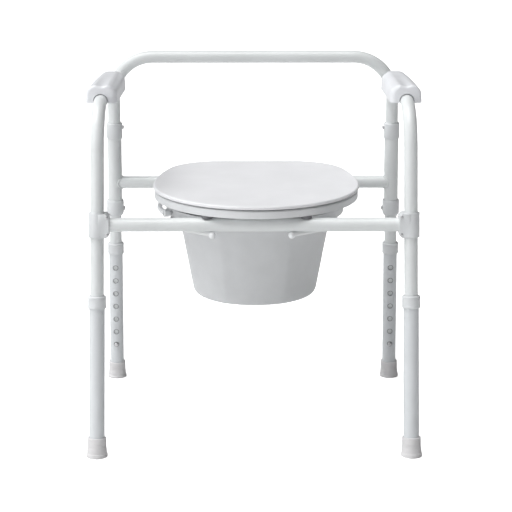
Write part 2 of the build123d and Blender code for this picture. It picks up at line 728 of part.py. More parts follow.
save(seated(seat_ring.part), "seat_ring")

with BuildPart() as seat_pads:
    with BuildSketch(Plane.XY.offset(BAR_Z + TUBE_R + SEAT_PAD_GAP)):
        with Locations((-SEAT_PAD_X, -HALF_DEPTH), (SEAT_PAD_X, -HALF_DEPTH)):
            Circle(SEAT_PAD_R)
    extrude(amount=RING_BOTTOM_Z - BAR_Z - TUBE_R - SEAT_PAD_GAP)
save(seated(seat_pads.part), "seat_pads")

lid_arm = (
    (HINGE_Y - 5, HINGE_Z),
    (HINGE_Y + 5, HINGE_Z),
    (HINGE_Y + 5, LID_TOP_Z - LID_SKIN),
    (HINGE_Y - 5, LID_TOP_Z - LID_SKIN),
)
with BuildPart() as lid:
    with BuildSketch(Plane.XY.offset(LID_BOTTOM_Z)):
        add(seat_outline(0))
    extrude(amount=LID_TOP_Z - LID_BOTTOM_Z)
    fillet(lid.faces().sort_by(Axis.Z)[-1].edges(), radius=LID_EDGE_R)
    with BuildSketch(Plane.XY.offset(LID_BOTTOM_Z)):
        add(seat_outline(LID_SKIN))
    extrude(amount=LID_TOP_Z - LID_SKIN - LID_BOTTOM_Z, mode=Mode.SUBTRACT)
    add(knuckle(*LID_KNUCKLE, PIN_R + PIN_GAP, lid_arm))
save(seated(lid.part), "lid")

with BuildPart() as lid_pads:
    with BuildSketch(Plane.XY.offset(RING_TOP_Z)):
        with Locations(*[(side * x, y) for side in LEFT_AND_RIGHT.values() for x, y in LID_PADS]):
            Circle(LID_PAD_R)
    extrude(amount=LID_TOP_Z - LID_SKIN - RING_TOP_Z)
save(seated(lid_pads.part), "lid_pads")

# Hinge brackets, which snap over the crossbar with clips open at the back
tipping_point = Vector(0, -HALF_DEPTH, BAR_Z + TUBE_R)
hinge = (Vector(0, HINGE_Y, HINGE_Z) - tipping_point).rotate(Axis.X, SEAT_TILT) + tipping_point
clip_foot = ((WEB_FRONT_Y, WEB_FOOT_BOTTOM_Z), (HALF_DEPTH - TUBE_R + 2, WEB_FOOT_BOTTOM_Z))
clip_foot += ((HALF_DEPTH - TUBE_R + 2, WEB_FOOT_TOP_Z), (WEB_REAR_Y, WEB_FOOT_TOP_Z))
clip_foot += ((WEB_REAR_Y, hinge.Z), (WEB_FRONT_Y, hinge.Z))
for side_name, side in LEFT_AND_RIGHT.items():
    with BuildPart() as bracket:
        with BuildSketch(Plane.YZ.offset(SEAT_X + side * BRACKET_KNUCKLE[0])):
            with Locations((hinge.Y, hinge.Z)):
                Circle(KNUCKLE_R)
            with BuildLine():
                Polyline(*clip_foot, close=True)
            make_face()
            with Locations((HALF_DEPTH, BAR_Z)):
                Circle(CLIP_R)
                Circle(TUBE_R, mode=Mode.SUBTRACT)
            with Locations((HALF_DEPTH + CLIP_R, BAR_Z)):
                Rectangle(2 * TUBE_R, 1.6 * TUBE_R, mode=Mode.SUBTRACT)
            with Locations((hinge.Y, hinge.Z)):
                Circle(PIN_R, mode=Mode.SUBTRACT)
        extrude(amount=side * (BRACKET_KNUCKLE[1] - BRACKET_KNUCKLE[0]))
    save(bracket.part, f"hinge_bracket_{side_name}")

with BuildPart() as pins:
    for side in LEFT_AND_RIGHT.values():
        with BuildSketch(Plane.YZ.offset(side * PIN_FROM_X)):
            with Locations((HINGE_Y, HINGE_Z)):
                Circle(PIN_R)
        extrude(amount=side * (PIN_TO_X - PIN_FROM_X))
save(seated(pins.part), "hinge_pins")

# ---------------------------------------------------------------- pail
rim_top = PAIL_FLANGE_Z + PAIL_RIM_HEIGHT
pail_axis = Axis((PAIL_X, PAIL_Y, 0), (0, 0, 1))
pail_middle = Plane(origin=(PAIL_X, PAIL_Y, 0), x_dir=(1, 0, 0), z_dir=(0, 0, 1))
pail_middle = pail_middle.rotated((0, 0, PAIL_TURN))
with BuildPart() as pail:
    with BuildSketch(profile_plane(pail_middle)):
        with BuildLine():
            Polyline(
                (0, PAIL_BOTTOM_Z),
                (PAIL_BASE_R - 4, PAIL_BOTTOM_Z),
                (PAIL_BASE_R, PAIL_BOTTOM_Z + 4),
                (PAIL_TOP_R, PAIL_FLANGE_Z),
                (PAIL_TOP_R, PAIL_FLANGE_Z + PAIL_WALL),
                (PAIL_TOP_R - PAIL_WALL, PAIL_FLANGE_Z + PAIL_WALL),
                (PAIL_BASE_R - PAIL_WALL, PAIL_BOTTOM_Z + PAIL_WALL + 3),
                (PAIL_BASE_R - 7, PAIL_BOTTOM_Z + PAIL_WALL),
                (0, PAIL_BOTTOM_Z + PAIL_WALL),
                close=True,
            )
        make_face()
    revolve(axis=pail_axis)
save(pail.part, "pail")

# The pail's rim is a flange with a lip round it, which rests on the rods
with BuildPart() as rim:
    with BuildSketch(profile_plane(pail_middle)):
        with BuildLine():
            Polyline(
                (PAIL_TOP_R, PAIL_FLANGE_Z),
                (PAIL_FLANGE_R, PAIL_FLANGE_Z),
                (PAIL_FLANGE_R, rim_top),
                (PAIL_FLANGE_R - PAIL_WALL, rim_top),
                (PAIL_FLANGE_R - PAIL_WALL, PAIL_FLANGE_Z + PAIL_WALL),
                (PAIL_TOP_R, PAIL_FLANGE_Z + PAIL_WALL),
                close=True,
            )
        make_face()
    revolve(axis=pail_axis)
    # Pivot pins for the bail, one on each side of the rim
    for direction in (1, -1):
        out = Plane(
            origin=pail_middle.origin + Vector(0, 0, PIVOT_Z), z_dir=pail_middle.x_dir * direction
        )
        with BuildSketch(out.offset(PIVOT_FROM_R)):
            Circle(PIVOT_R)
        extrude(amount=PIVOT_TO_R - PIVOT_FROM_R)
save(rim.part, "pail_rim")

with BuildPart() as bail:
    with BuildSketch(profile_plane(pail_middle)):
        with Locations((BAIL_R, PIVOT_Z)):
            RectangleRounded(2 * BAIL_HALF_WIDTH, 2 * BAIL_HALF_HEIGHT, 2)
    revolve(axis=pail_axis, revolution_arc=180)
    for direction in (1, -1):
        out = Plane(
            origin=pail_middle.origin + Vector(0, 0, PIVOT_Z), z_dir=pail_middle.x_dir * direction
        )
        with BuildSketch(out.offset(BAIL_EYE_FROM_R)):
            Circle(BAIL_EYE_R)
        extrude(amount=BAIL_EYE_TO_R - BAIL_EYE_FROM_R)
        with BuildSketch(out.offset(PIVOT_FROM_R)):
            Circle(PIVOT_R + PIVOT_GAP)
        extrude(amount=PIVOT_TO_R - PIVOT_FROM_R + 5, mode=Mode.SUBTRACT)
save(bail.part, "pail_bail")
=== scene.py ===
import json
import math

import bmesh
import bpy
from mathutils import Matrix, Vector, noise

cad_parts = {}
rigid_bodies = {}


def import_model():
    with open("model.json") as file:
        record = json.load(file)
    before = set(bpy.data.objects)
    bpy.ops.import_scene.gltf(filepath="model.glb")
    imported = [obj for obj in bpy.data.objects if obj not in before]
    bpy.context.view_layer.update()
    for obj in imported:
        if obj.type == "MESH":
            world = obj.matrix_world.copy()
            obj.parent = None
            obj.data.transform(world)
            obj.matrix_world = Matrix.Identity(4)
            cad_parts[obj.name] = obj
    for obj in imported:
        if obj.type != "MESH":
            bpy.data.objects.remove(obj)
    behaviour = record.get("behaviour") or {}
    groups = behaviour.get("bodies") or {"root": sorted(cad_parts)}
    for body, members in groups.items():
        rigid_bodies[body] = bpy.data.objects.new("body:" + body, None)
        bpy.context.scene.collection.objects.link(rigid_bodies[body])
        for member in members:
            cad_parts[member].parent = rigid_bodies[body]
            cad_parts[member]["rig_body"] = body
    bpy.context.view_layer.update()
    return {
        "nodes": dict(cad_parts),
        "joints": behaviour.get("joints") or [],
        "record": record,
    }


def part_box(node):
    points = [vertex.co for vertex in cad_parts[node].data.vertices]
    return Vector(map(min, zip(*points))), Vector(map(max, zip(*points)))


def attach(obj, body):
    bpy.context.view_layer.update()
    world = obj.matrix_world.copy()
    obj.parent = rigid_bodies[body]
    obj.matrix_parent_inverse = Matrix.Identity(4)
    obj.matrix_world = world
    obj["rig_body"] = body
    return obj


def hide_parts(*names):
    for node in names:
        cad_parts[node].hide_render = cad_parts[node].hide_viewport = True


# The looks of a bedside commode chair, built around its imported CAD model. +Z is up and the front
# of the chair faces -Y. The scene is in metres. The chair's own dimensions and profiles that have
# no MM beside them are in millimetres, and are multiplied by MM where they are used. The floor,
# the lights and the camera are placed in metres.

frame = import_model()
nodes = frame["nodes"]
joints = {joint["name"]: joint for joint in frame["joints"]}
mounts = {mount["name"]: mount for mount in frame["record"]["mounts"]}

MM = 0.001
SIDES = {"left": -1, "right": 1}
ENDS = {"front": -1, "rear": 1}
SHARP_ANGLE = math.radians(38)  # edges sharper than this stay sharp in the shading

# ---------------------------------------------------------------- finishes
# slot: colour, roughness, coat weight, grain size and depth in mm, edge wear and painted edge
# shade, mottling
FINISHES = {
    "powder_coat": ((0.71, 0.73, 0.73), 0.38, 0.18, 1.6, 0.030, 0.10, 0.030),
    # the legs' edge darkening is pushed far up to darken the rims of the height holes: partly worn
    # paint, partly painted shade
    "leg_coat": ((0.65, 0.67, 0.685), 0.38, 0.18, 1.6, 0.030, 1.6, 0.035),
    "rod_coat": ((0.76, 0.77, 0.775), 0.32, 0.30, 1.4, 0.030, 0.08, 0.030),
    "collar_plastic": ((0.66, 0.675, 0.685), 0.38, 0.15, 0.5, 0.020, 0.10, 0.030),
    "armrest_plastic": ((0.77, 0.78, 0.805), 0.40, 0.15, 0.6, 0.030, 0.10, 0.035),
    "seat_plastic": ((0.69, 0.70, 0.71), 0.42, 0.10, 0.7, 0.020, 0.08, 0.025),
    "lid_plastic": ((0.755, 0.755, 0.77), 0.55, 0.0, 0.7, 0.025, 0.06, 0.020),
    "pail_plastic": ((0.62, 0.63, 0.64), 0.42, 0.10, 0.9, 0.030, 0.08, 0.040),
    "bail_plastic": ((0.80, 0.81, 0.82), 0.40, 0.10, 0.6, 0.020, 0.08, 0.030),
    "tip_vinyl": ((0.85, 0.86, 0.87), 0.34, 0.25, 0.8, 0.020, 0.05, 0.030),
    "foot_rubber": ((0.64, 0.63, 0.635), 0.62, 0.00, 0.7, 0.050, 0.16, 0.060),
    # dark so that the seat pads read as the shade between seat ring and front bar: partly dark
    # rubber, partly painted shade
    "pad_rubber": ((0.16, 0.16, 0.17), 0.66, 0.00, 0.7, 0.050, 0.10, 0.060),
}
METALS = {
    "button_steel": ((0.62, 0.62, 0.63), 0.24),
    "steel": ((0.66, 0.66, 0.67), 0.30),
}
EDGE_RADIUS = 0.8 * MM
METAL_EDGE_RADIUS = 0.3 * MM
BLOTCH_SIZE = 45 * MM
SPECK_SIZE = 2.2 * MM
SPECK_TINT = 0.93
# the colour of darkened edges: worn paint, and on the legs painted shade at the hole rims
EDGE_WEAR_AND_SHADE_TINT = 0.35
COAT_ROUGHNESS = 0.12
PLASTIC_IOR = 1.5
BUMP_STRENGTH = 0.6
STREAK_SIZE = 0.6 * MM
STREAK_STRETCH = 0.12
STREAK_DEPTH = 0.01 * MM
PATCH_SIZE = 6 * MM


def noise_node(tree, size, detail, coordinates):
    """A noise texture whose blotches are about size across."""
    texture = tree.nodes.new("ShaderNodeTexNoise")
    texture.inputs["Scale"].default_value = 1 / size
    texture.inputs["Detail"].default_value = detail
    tree.links.new(coordinates, texture.inputs["Vector"])
    return texture.outputs["Fac"]


def spread(tree, value, low, high, to_low, to_high):
    """Maps value from low..high onto to_low..to_high."""
    mapping = tree.nodes.new("ShaderNodeMapRange")
    names = ("From Min", "From Max", "To Min", "To Max")
    for name, number in zip(names, (low, high, to_low, to_high)):
        mapping.inputs[name].default_value = number
    tree.links.new(value, mapping.inputs["Value"])
    return mapping.outputs["Result"]


def blended(tree, factor, first, second):
    """A colour between first and second, each a socket or a colour."""
    mix = tree.nodes.new("ShaderNodeMix")
    mix.data_type = "RGBA"
    tree.links.new(factor, mix.inputs[0])
    for socket, colour in zip((mix.inputs[6], mix.inputs[7]), (first, second)):
        if isinstance(colour, bpy.types.NodeSocket):
            tree.links.new(colour, socket)
        else:
            socket.default_value = (*colour, 1)
    return mix.outputs[2]


def edge_mask(tree, radius):
    """One on outside edges and zero on flats, with the rounded normal that finds them."""
    bevel = tree.nodes.new("ShaderNodeBevel")
    bevel.samples = 4
    bevel.inputs["Radius"].default_value = radius
    geometry = tree.nodes.new("ShaderNodeNewGeometry")
    dot = tree.nodes.new("ShaderNodeVectorMath")
    dot.operation = "DOT_PRODUCT"
    tree.links.new(bevel.outputs["Normal"], dot.inputs[0])
    tree.links.new(geometry.outputs["Normal"], dot.inputs[1])
    return spread(tree, dot.outputs["Value"], 0.99, 0.80, 0, 1), bevel.outputs["Normal"]


def tinted(colour, factor):
    return tuple(min(1, channel * factor) for channel in colour)


def start_material(name):
    material = bpy.data.materials.new(name)
    material.use_nodes = True
    tree = material.node_tree
    place = tree.nodes.new("ShaderNodeTexCoord").outputs["Object"]
    return material, tree, tree.nodes["Principled BSDF"], place


def add_bump(tree, shader, height, depth, normal):
    bump = tree.nodes.new("ShaderNodeBump")
    bump.inputs["Strength"].default_value = BUMP_STRENGTH
    bump.inputs["Distance"].default_value = depth
    tree.links.new(height, bump.inputs["Height"])
    tree.links.new(normal, bump.inputs["Normal"])
    tree.links.new(bump.outputs["Normal"], shader.inputs["Normal"])


def coated(name, colour, roughness, coat, grain, depth, wear_and_shade, mottling):
    """Paint or plastic: blotchy colour, fine specks, edges darkened by wear and, on the legs, by
    painted shade, and a grained surface.
    """
    material, tree, shader, place = start_material(name)
    blotches = noise_node(tree, BLOTCH_SIZE, 3, place)
    specks = noise_node(tree, SPECK_SIZE, 2, place)
    grained = noise_node(tree, grain * MM, 4, place)
    edges, rounded = edge_mask(tree, EDGE_RADIUS)
    broad = spread(tree, blotches, 0.3, 0.7, 0, 1)
    base = blended(tree, broad, tinted(colour, 1 - mottling), tinted(colour, 1 + mottling))
    speckle = spread(tree, specks, 0.64, 0.78, 0, 0.35)
    base = blended(tree, speckle, base, tinted(colour, SPECK_TINT))
    # darker edges: wear, and on the legs painted shade at the hole rims
    worn_and_shaded = tree.nodes.new("ShaderNodeMath")
    worn_and_shaded.operation = "MULTIPLY"
    tree.links.new(edges, worn_and_shaded.inputs[0])
    patchy = spread(tree, blotches, 0.35, 0.65, 0.5 * wear_and_shade, wear_and_shade)
    tree.links.new(patchy, worn_and_shaded.inputs[1])
    base = blended(tree, worn_and_shaded.outputs["Value"], base, tinted(colour, EDGE_WEAR_AND_SHADE_TINT))
    tree.links.new(base, shader.inputs["Base Color"])
    gloss = spread(tree, blotches, 0.25, 0.75, roughness - 0.05, roughness + 0.07)
    tree.links.new(gloss, shader.inputs["Roughness"])
    shader.inputs["Coat Weight"].default_value = coat
    shader.inputs["Coat Roughness"].default_value = COAT_ROUGHNESS
    shader.inputs["IOR"].default_value = PLASTIC_IOR
    add_bump(tree, shader, grained, depth * MM, rounded)
    return material


def metal(name, colour, roughness):
    """Plated steel with brushed streaks and a few dull patches."""
    material, tree, shader, place = start_material(name)
    stretched = tree.nodes.new("ShaderNodeMapping")
    stretched.inputs["Scale"].default_value = (1, 1, STREAK_STRETCH)
    tree.links.new(place, stretched.inputs["Vector"])
    streaks = noise_node(tree, STREAK_SIZE, 4, stretched.outputs["Vector"])
    patches = noise_node(tree, PATCH_SIZE, 3, place)
    edges, rounded = edge_mask(tree, METAL_EDGE_RADIUS)
    base = blended(tree, spread(tree, patches, 0.3, 0.7, 0, 1), tinted(colour, 0.88), colour)
    base = blended(tree, edges, base, tinted(colour, 1.15))
    tree.links.new(base, shader.inputs["Base Color"])
    shader.inputs["Metallic"].default_value = 1
    gloss = spread(tree, streaks, 0.3, 0.7, roughness - 0.06, roughness + 0.12)
    tree.links.new(gloss, shader.inputs["Roughness"])
    add_bump(tree, shader, streaks, STREAK_DEPTH, rounded)
    return material


materials = {slot: coated(slot, *values) for slot, values in FINISHES.items()}
materials.update({slot: metal(slot, *values) for slot, values in METALS.items()})

slots = {entry["node"]: entry["material_slot"] for entry in frame["record"]["subparts"]}
for node, obj in nodes.items():
    for index in range(len(obj.material_slots)):
        obj.material_slots[index].material = materials[slots[node]]


# ---------------------------------------------------------------- mesh helpers
def piece(name, mesh, slot, body, *replaced):
    """Finishes a bmesh as an object that rides on a body and stands for CAD nodes."""
    bmesh.ops.recalc_face_normals(mesh, faces=mesh.faces)
    data = bpy.data.meshes.new(name)
    mesh.to_mesh(data)
    mesh.free()
    data.shade_smooth()
    data.set_sharp_from_angle(angle=SHARP_ANGLE)
    data.materials.append(materials[slot])
    obj = bpy.data.objects.new(name, data)
    bpy.context.scene.collection.objects.link(obj)
    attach(obj, body)
    if replaced:
        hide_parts(*replaced)
    return obj


def rounded_path(corners, closed=False, steps=5):
    """A path of (x, y, radius) corners with each corner rounded by steps + 1 points."""
    points = []
    count = len(corners)
    for index, (x, y, radius) in enumerate(corners):
        here = Vector((x, y))
        at_end = not closed and index in (0, count - 1)
        if at_end or radius == 0:
            points.append(here)
            continue
        before = Vector(corners[index - 1][:2]) - here
        after = Vector(corners[(index + 1) % count][:2]) - here
        reach = min(radius, 0.49 * before.length, 0.49 * after.length)
        first = here + before.normalized() * reach
        last = here + after.normalized() * reach
        for step in range(steps + 1):
            t = step / steps
            points.append(first * (1 - t) ** 2 + here * 2 * t * (1 - t) + last * t**2)
    return points


def axis_basis(up):
    """Two directions across an axis."""
    side = Vector((1, 0, 0)) if abs(up.x) < 0.8 else Vector((0, 1, 0))
    across = (side - up * side.dot(up)).normalized()
    return across, up.cross(across)


def add_lathe(mesh, profile, origin, up, segments=72, shape=None):
    """Revolves a closed profile of (radius, height) about an axis.

    shape, where given, scales the radius by angle, radius and height.
    """
    across, other = axis_basis(up)
    rings = []
    for radius, height in profile:
        centre = origin + up * height
        if radius < 1e-7:
            rings.append([mesh.verts.new(centre)])
            continue
        ring = []
        for index in range(segments):
            angle = math.tau * index / segments
            scale = shape(angle, radius, height) if shape else 1
            out = across * math.cos(angle) + other * math.sin(angle)
            ring.append(mesh.verts.new(centre + out * radius * scale))
        rings.append(ring)
    for ring, following in zip(rings, rings[1:] + rings[:1]):
        if len(ring) == 1 and len(following) == 1:
            continue
        for index in range(segments):
            after = (index + 1) % segments
            if len(ring) == 1:
                mesh.faces.new((ring[0], following[after], following[index]))
            elif len(following) == 1:
                mesh.faces.new((ring[index], ring[after], following[0]))
            else:
                mesh.faces.new((ring[index], ring[after], following[after], following[index]))
    return rings


def add_loft(mesh, sections, closed=False):
    """Joins equal sections, each a closed loop of points, and caps the two ends."""
    loops = [[mesh.verts.new(point) for point in section] for section in sections]
    pairs = list(zip(loops, loops[1:]))
    if closed:
        pairs.append((loops[-1], loops[0]))
    for loop, following in pairs:
        count = len(loop)
        for index in range(count):
            after = (index + 1) % count
            mesh.faces.new((loop[index], loop[after], following[after], following[index]))
    if not closed:
        mesh.faces.new(loops[0])
        mesh.faces.new(loops[-1])


MERGE_DISTANCE = 0.001 * MM
COPLANAR_ANGLE = math.radians(0.6)
SOFTENED_ANGLE = math.radians(32)


def softened(name, node, width, steps=2):
    """Stands for a CAD node with its sharp edges rounded over."""
    mesh = bmesh.new()
    mesh.from_mesh(nodes[node].data)
    bmesh.ops.remove_doubles(mesh, verts=mesh.verts, dist=MERGE_DISTANCE)
    bmesh.ops.dissolve_limit(mesh, angle_limit=COPLANAR_ANGLE, verts=mesh.verts, edges=mesh.edges)
    folded = [edge for edge in mesh.edges if edge.is_manifold]
    sharp = [edge for edge in folded if edge.calc_face_angle(0) > SOFTENED_ANGLE]
    bmesh.ops.bevel(
        mesh,
        geom=sharp,
        offset=width,
        offset_type="OFFSET",
        segments=steps,
        profile=0.5,
        affect="EDGES",
        clamp_overlap=True,
    )
    return piece(name, mesh, slots[node], nodes[node]["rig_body"], node)


def corner_axis(end_name, side_name):
    """The foot of a leg's axis on the floor, and the direction up the leg."""
    up = -Vector(joints[f"leg_{end_name}_{side_name}_slide"]["axis"]).normalized()
    return Vector(mounts[f"floor_{end_name}_{side_name}"]["pos_m"]), up


# ---------------------------------------------------------------- feet and leg collars
FOOT_BASE_R = 17.5 * MM
FOOT_TOP_R = 15.4 * MM
SOCKET_R = 12.72 * MM
FOOT_BELOW_FLOOR = 4 * MM  # a foot leans with its leg, so it is drawn long and cut off flat
FOOT_WELT_TOP = 4.6 * MM
FOOT_TOP = 32 * MM
SOCKET_BOTTOM = 7.05 * MM
GRIP_RINGS = (16.0, 18.6, 21.2)  # heights of the moulded rings round a foot
RING_DEPTH = 0.45 * MM


def foot_profile():
    """A flared rubber tip with a welt at its base, grip rings and a rolled mouth."""
    corners = [
        (0, -FOOT_BELOW_FLOOR, 0),
        (FOOT_BASE_R, -FOOT_BELOW_FLOOR, 0),
        (FOOT_BASE_R, FOOT_WELT_TOP, 1.2 * MM),
        (FOOT_BASE_R - 1.1 * MM, FOOT_WELT_TOP + 1 * MM, 0.8 * MM),
        (FOOT_TOP_R + 0.7 * MM, 13 * MM, 2 * MM),
    ]
    for height in GRIP_RINGS:
        radius = FOOT_TOP_R + 0.3 * MM
        corners.append((radius, (height - 0.9) * MM, 0.3 * MM))
        corners.append((radius - RING_DEPTH, height * MM, 0.3 * MM))
        corners.append((radius, (height + 0.9) * MM, 0.3 * MM))
    corners += [
        (FOOT_TOP_R + 0.1 * MM, 27 * MM, 1 * MM),
        (FOOT_TOP_R + 0.1 * MM, FOOT_TOP, 1.6 * MM),
        (SOCKET_R, FOOT_TOP, 1.0 * MM),
        (SOCKET_R, SOCKET_BOTTOM, 0),
        (0, SOCKET_BOTTOM, 0),
    ]
    return [tuple(point) for point in rounded_path(corners, steps=4)]


def flatten_on_floor(mesh):
    """Cuts a mesh off at the floor and closes the cut."""
    geometry = mesh.verts[:] + mesh.edges[:] + mesh.faces[:]
    result = bmesh.ops.bisect_plane(
        mesh, geom=geometry, plane_co=(0, 0, 0), plane_no=(0, 0, -1), clear_outer=True
    )
    cut = [item for item in result["geom_cut"] if isinstance(item, bmesh.types.BMEdge)]
    bmesh.ops.contextual_create(mesh, geom=cut)


# Each corner of a profile is its radius from the axis, its height and how far it is rounded.
COLLAR_PROFILE = (
    (12.72, 247.0, 0),
    (14.6, 247.0, 0.5),
    (15.0, 248.2, 0.8),
    (15.0, 250.6, 0.5),
    (14.75, 251.0, 0.3),
    (14.75, 263.4, 0.3),
    (15.0, 263.8, 0.5),
    (15.0, 266.2, 1.4),
    (13.4, 267.5, 0.8),
    (11.45, 267.5, 0.4),
    (11.45, 260.1, 0),
    (12.72, 260.1, 0),
)

for end_name in ENDS:
    for side_name in SIDES:
        corner = f"{end_name}_{side_name}"
        base, up = corner_axis(end_name, side_name)

        foot = bmesh.new()
        add_lathe(foot, foot_profile(), base, up, segments=80)
        flatten_on_floor(foot)
        piece(f"rubber_foot_{corner}", foot, "foot_rubber", f"leg_{corner}", f"foot_{corner}")

        collar = bmesh.new()
        corners = [(r * MM, z * MM / up.z, radius * MM) for r, z, radius in COLLAR_PROFILE]
        profile = [tuple(point) for point in rounded_path(corners, closed=True, steps=3)]
        add_lathe(collar, profile, base, up, segments=72)
        leg = f"leg_{corner}"
        piece(f"leg_ferrule_{corner}", collar, "collar_plastic", leg, f"leg_collar_{corner}")

# ---------------------------------------------------------------- dark rings of painted shade round the height holes
LEG_R = 12.7
HOLE_PITCH = 25.4 * MM
HOLE_COUNT = 7
RING_STEPS = 40
# the distance from the hole's middle, and how far that stands out from the leg's wall
RING_PROFILE = ((4.15, -0.5), (4.15, 0.02), (4.3, 0.06), (4.9, 0.05), (5.05, 0.0), (5.05, -0.5))
# a dark finish that paints the shade at the edges of the height holes
HOLE_SHADE_FINISH = ((0.20, 0.20, 0.21), 0.5, 0, 0.5, 0.02, 0.2, 0.08)  # in the order of FINISHES


def add_hole_ring(mesh, centre, out, up):
    """A thin dark ring of painted shade that lies on a leg's round wall about one of its holes."""
    across = up.cross(out)
    sections = []
    for step in range(RING_STEPS):
        angle = math.tau * step / RING_STEPS
        section = []
        for radius, lift in RING_PROFILE:
            u = radius * math.cos(angle)
            height = math.sqrt(LEG_R**2 - u**2) + lift
            offset = out * height + across * u + up * radius * math.sin(angle)
            section.append(centre + offset * MM)
        sections.append(section)
    add_loft(mesh, sections, closed=True)


materials["hole_edge_shade"] = coated("hole_edge_shade", *HOLE_SHADE_FINISH)
for end_name in ENDS:
    for side_name in SIDES:
        corner = f"{end_name}_{side_name}"
        base, up = corner_axis(end_name, side_name)
        low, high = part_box(f"snap_button_{corner}")
        middle = (low + high) / 2
        on_axis = base + up * (middle - base).dot(up)
        out = (middle - on_axis).normalized()
        rings = bmesh.new()
        for step in range(HOLE_COUNT):
            add_hole_ring(rings, on_axis + up * HOLE_PITCH * step, out, up)
        # the rings paint the shade that each hole's edge casts on the leg
        obj = piece(f"hole_shade_rings_{corner}", rings, "steel", f"leg_{corner}")
        obj.data.materials[0] = materials["hole_edge_shade"]

# ---------------------------------------------------------------- armrests
ARM_HALF_WIDTH = 26.0
ARM_INNER_CORNER = 10.0  # the ends are rounded seen from above
ARM_OUTER_CORNER = 4.5
ARM_NOSE = 4.5  # and seen from the side
ARM_INNER_CREST = 13.5
ARM_OUTER_CREST = 14.5
ARM_INNER_SHOULDER_Z = 590.0
ARM_OUTER_SHOULDER_Z = 590.5
ARM_REAR_SLOPE = 5.5  # how far the outer shoulder sinks towards the rear
ARM_FRONT_BOTTOM_Z = 569.5
ARM_TUBE_R = 11.1
CHANNEL_R = 11.25
CHANNEL_MOUTH_R = 12.3
TROUGH_DEPTH = 2.4
TROUGH_HALF_WIDTH = 11.0
TROUGH_FADE = 2.2  # how fast the trough fades towards the rear
TOP_STEPS = 12
ARM_END_STEPS = 10
ARM_MIDDLE_STEPS = 28
CHANNEL_MOUTH_LENGTH = 14.0
CHANNEL_STEPS = 24
SCREW_HEAD_R = 4.4
SCREW_HEAD_HEIGHT = 2.4


def quarter_drop(distance, radius):
    """How far a quarter round of that radius has fallen away at a distance from its end."""
    if distance >= radius:
        return 0.0
    return radius - math.sqrt(max(0.0, radius**2 - (radius - distance) ** 2))


def armrest_section(side, middle_x, tube_x, tube_z, y, low, high, bottom_z):
    """One closed section across an armrest, in metres. Lengths inside are millimetres."""
    from_front = (y - low.y) / MM
    from_rear = (high.y - y) / MM
    to_end = min(from_front, from_rear)
    inner_inset = quarter_drop(to_end, ARM_INNER_CORNER)
    outer_inset = quarter_drop(to_end, ARM_OUTER_CORNER)
    drop = quarter_drop(from_front, ARM_NOSE) + quarter_drop(from_rear, ARM_NOSE)
    along = from_front / (from_front + from_rear)
    top = high.z / MM - drop
    inner = ARM_HALF_WIDTH - inner_inset
    outer = ARM_HALF_WIDTH - outer_inset
    bottom = bottom_z / MM
    outer_shoulder = ARM_OUTER_SHOULDER_Z - ARM_REAR_SLOPE * along**3 - 0.5 * drop
    inner_shoulder = ARM_INNER_SHOULDER_Z - along - 0.5 * drop
    inner_crest = ARM_INNER_CREST - 0.35 * inner_inset
    outer_crest = ARM_OUTER_CREST - 0.35 * outer_inset - 4.5 * along**3
    corners = [
        (-inner + 0.6, bottom, 0),
        (-inner, bottom + 1.0, 0.8),
        (-inner + 0.8, inner_shoulder, 6.0),
        (-inner_crest, top, 5.0),
        (outer_crest, top, 6.0),
        (outer - 1.4, outer_shoulder, 8.0),
        (outer, bottom + 1.0, 0.8),
        (outer - 0.6, bottom, 0),
    ]
    path = rounded_path(corners, steps=6)
    outline = []
    for first, second in zip(path, path[1:]):
        outline.append(first)
        across_top = max(abs(first.y - top), abs(second.y - top)) < 0.01
        if across_top and (second - first).length > 4:
            outline += [first.lerp(second, step / TOP_STEPS) for step in range(1, TOP_STEPS)]
    outline.append(path[-1])
    depth = TROUGH_DEPTH * (1 - along) ** TROUGH_FADE
    for point in outline:
        if abs(point.x) < TROUGH_HALF_WIDTH and point.y > top - 4:
            point.y -= depth * (1 - (point.x / TROUGH_HALF_WIDTH) ** 2) ** 2
    mouth = max(0.0, 1 - from_front / CHANNEL_MOUTH_LENGTH)
    bore = CHANNEL_R + (CHANNEL_MOUTH_R - CHANNEL_R) * mouth**2
    centre = side * (tube_x - middle_x) / MM
    arch = tube_z / MM
    outline.append(Vector((centre + bore, bottom)))
    for step in range(CHANNEL_STEPS + 1):
        angle = math.pi * step / CHANNEL_STEPS
        outline.append(Vector((centre + bore * math.cos(angle), arch + bore * math.sin(angle))))
    outline.append(Vector((centre - bore, bottom)))
    return [Vector((middle_x + side * u * MM, y, z * MM)) for u, z in outline]


for side_name, side in SIDES.items():
    node = f"armrest_{side_name}"
    low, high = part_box(node)
    screw_low, screw_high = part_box("armrest_screws")
    tube_x = side * (screw_high.x - SCREW_HEAD_R * MM)
    tube_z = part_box(f"side_tube_{side_name}")[1].z - ARM_TUBE_R * MM
    middle_x = (low.x + high.x) / 2
    turns = [math.pi / 2 * step / ARM_END_STEPS for step in range(ARM_END_STEPS + 1)]
    rounding = [ARM_INNER_CORNER * MM * (1 - math.cos(turn)) for turn in turns]
    near_front = [low.y + distance for distance in rounding]
    near_rear = [high.y - distance for distance in reversed(rounding)]
    start, stop = near_front[-1], near_rear[0]
    between = [
        start + (stop - start) * step / ARM_MIDDLE_STEPS for step in range(1, ARM_MIDDLE_STEPS)
    ]
    sections = []
    for y in near_front + between + near_rear:
        along = (y - low.y) / (high.y - low.y)
        bottom_z = ARM_FRONT_BOTTOM_Z * MM + (low.z - ARM_FRONT_BOTTOM_Z * MM) * along
        sections.append(armrest_section(side, middle_x, tube_x, tube_z, y, low, high, bottom_z))
    armrest = bmesh.new()
    add_loft(armrest, sections)
    piece(f"arm_pad_{side_name}", armrest, "armrest_plastic", "frame", node)

